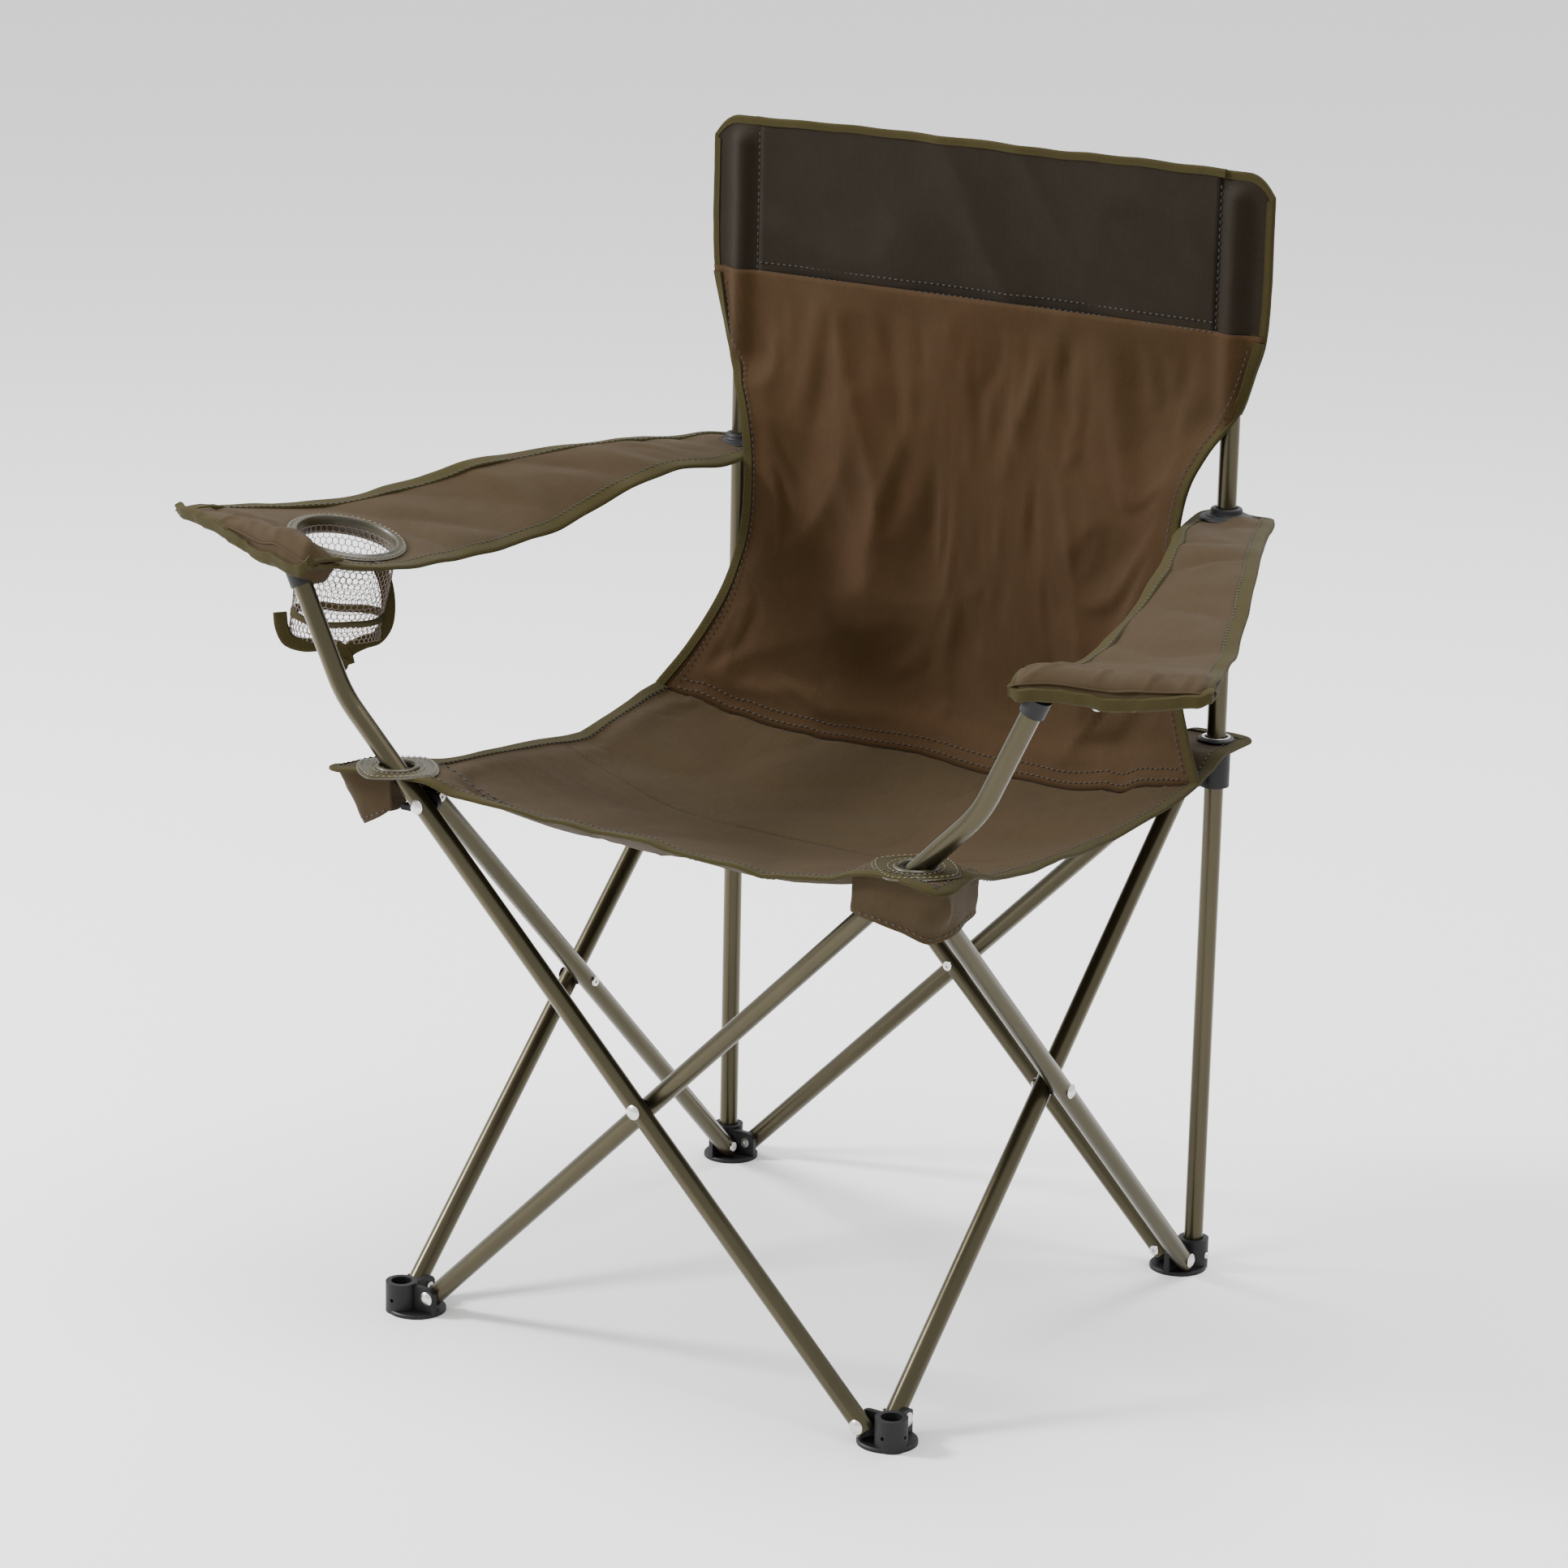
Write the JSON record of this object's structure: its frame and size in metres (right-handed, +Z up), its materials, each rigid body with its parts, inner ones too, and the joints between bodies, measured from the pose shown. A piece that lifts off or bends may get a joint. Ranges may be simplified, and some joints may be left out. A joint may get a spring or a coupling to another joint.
{
  "type": "folding camp chair",
  "caption": "Folding quad camp chair with crossed tube legs, sling seat and back, fabric armrests and a mesh cup holder.",
  "frame": {"origin": "on the ground, under the middle of the bounding box", "axes": "+Z up, the chair faces -Y, +X is on the right of a person who looks at its front"},
  "size_m": [0.968, 0.5462, 0.936],
  "materials": {
    "painted_tube": "glossy olive drab enamel over round steel tube",
    "black_plastic": "moulded black plastic, satin",
    "rivet_steel": "zinc-plated steel rivets",
    "seat_cloth": "taupe-olive woven polyester with olive bound edges",
    "back_cloth": "warm brown woven polyester with olive bound edges",
    "band_cloth": "dark olive-brown woven polyester",
    "vinyl": "stitched olive-brown vinyl",
    "mesh_cloth": "brown open hexagonal mesh"
  },
  "bodies": {
    "base": {"foot_rear_right": "black_plastic", "post_right": "painted_tube", "post_cap_right": "black_plastic", "post_screw_right": "rivet_steel", "back_panel": "back_cloth", "back_band": "band_cloth"},
    "rear_inner": {"tube_rear_inner": "painted_tube", "rivets_rear_inner": "rivet_steel", "washer_rear": "black_plastic"},
    "rear_outer": {"tube_rear_outer": "painted_tube", "rivets_rear_outer": "rivet_steel"},
    "rear_left": {"foot_rear_left": "black_plastic", "post_left": "painted_tube", "post_cap_left": "black_plastic", "post_screw_left": "rivet_steel"},
    "collar_left": {"collar_left": "black_plastic", "seat_ring_rear_left": "black_plastic"},
    "collar_right": {"collar_right": "black_plastic", "seat_ring_rear_right": "black_plastic"},
    "right_outer": {"tube_right_outer": "painted_tube", "rivets_right_outer": "rivet_steel"},
    "right_inner": {"tube_right_inner": "painted_tube", "rivets_right_inner": "rivet_steel", "washer_right": "black_plastic"},
    "front_right": {"foot_front_right": "black_plastic"},
    "left_inner": {"tube_left_inner": "painted_tube", "rivets_left_inner": "rivet_steel", "washer_left": "black_plastic"},
    "left_outer": {"tube_left_outer": "painted_tube", "rivets_left_outer": "rivet_steel"},
    "front_left": {"foot_front_left": "black_plastic"},
    "front_outer": {"arm_post_left": "painted_tube", "arm_tip_left": "black_plastic", "rivets_front_outer": "rivet_steel"},
    "front_inner": {"arm_post_right": "painted_tube", "arm_tip_right": "black_plastic", "rivets_front_inner": "rivet_steel", "washer_front": "black_plastic"},
    "bracket_right": {"bracket_right": "black_plastic"},
    "bracket_left": {"bracket_left": "black_plastic"},
    "seat_corner_right": {"seat_ring_front_right": "black_plastic", "seat_patch_right": "vinyl", "corner_flap_right": "seat_cloth"},
    "seat_corner_left": {"seat_ring_front_left": "black_plastic", "seat_patch_left": "vinyl", "corner_flap_left": "seat_cloth"},
    "seat_front": {"seat_front_half": "seat_cloth"},
    "seat_rear": {"seat_rear_half": "seat_cloth"},
    "armrest_right": {"armrest_right": "seat_cloth", "arm_hood_right": "seat_cloth"},
    "armrest_left": {"armrest_left": "seat_cloth", "arm_hood_left": "seat_cloth", "cup_ring": "vinyl", "cup_bag": "mesh_cloth"},
    "arm_grommet_right": {"arm_grommet_right": "black_plastic"},
    "arm_grommet_left": {"arm_grommet_left": "black_plastic"}
  },
  "joints": [
    {"name": "fold", "type": "hinge", "parent": "base", "child": "rear_inner", "pos_m": [0.214, 0.23469, 0.015], "axis": [0, 1, 0], "range_deg": [0, 38], "deforming": ["back_panel", "back_band", "seat_front_half", "seat_rear_half", "armrest_left", "armrest_right", "arm_hood_left", "arm_hood_right", "cup_ring", "cup_bag", "corner_flap_left", "corner_flap_right"]},
    {"name": "rear_cross", "type": "hinge", "parent": "rear_inner", "child": "rear_outer", "pos_m": [0, 0.24339, 0.22667], "axis": [0, -1, 0], "range_deg": [0, 76]},
    {"name": "rear_left_foot", "type": "hinge", "parent": "rear_outer", "child": "rear_left", "pos_m": [-0.214, 0.25209, 0.015], "axis": [0, 1, 0], "range_deg": [0, 38]},
    {"name": "collar_left_turn", "type": "hinge", "parent": "rear_inner", "child": "collar_left", "pos_m": [-0.214, 0.23469, 0.43834], "axis": [0, -1, 0], "range_deg": [0, 38]},
    {"name": "collar_right_turn", "type": "hinge", "parent": "rear_outer", "child": "collar_right", "pos_m": [0.214, 0.25209, 0.43834], "axis": [0, 1, 0], "range_deg": [0, 38]},
    {"name": "right_foot", "type": "hinge", "parent": "base", "child": "right_outer", "pos_m": [0.24303, 0.22306, 0.015], "axis": [-1, 0, 0], "range_deg": [0, 38]},
    {"name": "right_cross", "type": "hinge", "parent": "right_outer", "child": "right_inner", "pos_m": [0.23433, 0.00906, 0.22667], "axis": [1, 0, 0], "range_deg": [0, 76]},
    {"name": "front_right_foot", "type": "hinge", "parent": "right_inner", "child": "front_right", "pos_m": [0.22563, -0.20494, 0.015], "axis": [-1, 0, 0], "range_deg": [0, 38]},
    {"name": "bracket_right_turn", "type": "hinge", "parent": "right_outer", "child": "bracket_right", "pos_m": [0.24303, -0.20494, 0.43834], "axis": [1, 0, 0], "range_deg": [0, 38]},
    {"name": "left_foot", "type": "hinge", "parent": "rear_left", "child": "left_inner", "pos_m": [-0.22563, 0.22306, 0.015], "axis": [-1, 0, 0], "range_deg": [0, 38]},
    {"name": "left_cross", "type": "hinge", "parent": "left_inner", "child": "left_outer", "pos_m": [-0.23433, 0.00906, 0.22667], "axis": [1, 0, 0], "range_deg": [0, 76]},
    {"name": "front_left_foot", "type": "hinge", "parent": "left_outer", "child": "front_left", "pos_m": [-0.24303, -0.20494, 0.015], "axis": [-1, 0, 0], "range_deg": [0, 38]},
    {"name": "bracket_left_turn", "type": "hinge", "parent": "left_inner", "child": "bracket_left", "pos_m": [-0.22563, -0.20494, 0.43834], "axis": [1, 0, 0], "range_deg": [0, 38]},
    {"name": "front_outer_turn", "type": "hinge", "parent": "front_right", "child": "front_outer", "pos_m": [0.214, -0.23397, 0.015], "axis": [0, 1, 0], "range_deg": [0, 38]},
    {"name": "front_inner_turn", "type": "hinge", "parent": "front_left", "child": "front_inner", "pos_m": [-0.214, -0.21657, 0.015], "axis": [0, -1, 0], "range_deg": [0, 38]},
    {"name": "seat_corner_right_turn", "type": "hinge", "parent": "front_inner", "child": "seat_corner_right", "pos_m": [0.23887, -0.21657, 0.46294], "axis": [0, 1, 0], "range_deg": [0, 38]},
    {"name": "seat_corner_left_turn", "type": "hinge", "parent": "front_outer", "child": "seat_corner_left", "pos_m": [-0.23887, -0.23397, 0.46294], "axis": [0, -1, 0], "range_deg": [0, 38]},
    {"name": "seat_front_drop", "type": "hinge", "parent": "seat_corner_right", "child": "seat_front", "pos_m": [0.23887, -0.22457, 0.46294], "axis": [-1, 0, 0], "range_deg": [0, 75]},
    {"name": "seat_rear_drop", "type": "hinge", "parent": "collar_right", "child": "seat_rear", "pos_m": [0.23903, 0.24809, 0.46294], "axis": [1, 0, 0], "range_deg": [0, 75]},
    {"name": "armrest_right_turn", "type": "hinge", "parent": "front_inner", "child": "armrest_right", "pos_m": [0.33966, -0.21657, 0.61148], "axis": [0, 1, 0], "range_deg": [0, 38]},
    {"name": "armrest_left_turn", "type": "hinge", "parent": "front_outer", "child": "armrest_left", "pos_m": [-0.33966, -0.23397, 0.61148], "axis": [0, -1, 0], "range_deg": [0, 38]},
    {"name": "arm_grommet_right_slide", "type": "slide", "parent": "base", "child": "arm_grommet_right", "axis": [0, 0, 1], "range_m": [0, 0.085]},
    {"name": "arm_grommet_left_slide", "type": "slide", "parent": "rear_left", "child": "arm_grommet_left", "axis": [0, 0, 1], "range_m": [0, 0.085]}
  ],
  "couplings": [
    {"joint": "rear_cross", "follows": "fold", "ratio": 2},
    {"joint": "rear_left_foot", "follows": "fold", "ratio": 1},
    {"joint": "collar_left_turn", "follows": "fold", "ratio": 1},
    {"joint": "collar_right_turn", "follows": "fold", "ratio": 1},
    {"joint": "right_foot", "follows": "fold", "ratio": 1},
    {"joint": "right_cross", "follows": "fold", "ratio": 2},
    {"joint": "front_right_foot", "follows": "fold", "ratio": 1},
    {"joint": "bracket_right_turn", "follows": "fold", "ratio": 1},
    {"joint": "left_foot", "follows": "fold", "ratio": 1},
    {"joint": "left_cross", "follows": "fold", "ratio": 2},
    {"joint": "front_left_foot", "follows": "fold", "ratio": 1},
    {"joint": "bracket_left_turn", "follows": "fold", "ratio": 1},
    {"joint": "front_outer_turn", "follows": "fold", "ratio": 1},
    {"joint": "front_inner_turn", "follows": "fold", "ratio": 1},
    {"joint": "seat_corner_right_turn", "follows": "fold", "ratio": 1},
    {"joint": "seat_corner_left_turn", "follows": "fold", "ratio": 1},
    {"joint": "seat_front_drop", "follows": "fold", "ratio": 1.9737},
    {"joint": "seat_rear_drop", "follows": "fold", "ratio": 1.9737},
    {"joint": "armrest_right_turn", "follows": "fold", "ratio": 1},
    {"joint": "armrest_left_turn", "follows": "fold", "ratio": 1},
    {"joint": "arm_grommet_right_slide", "follows": "fold", "m_per_rad": 0.12816},
    {"joint": "arm_grommet_left_slide", "follows": "fold", "m_per_rad": 0.12816}
  ]
}
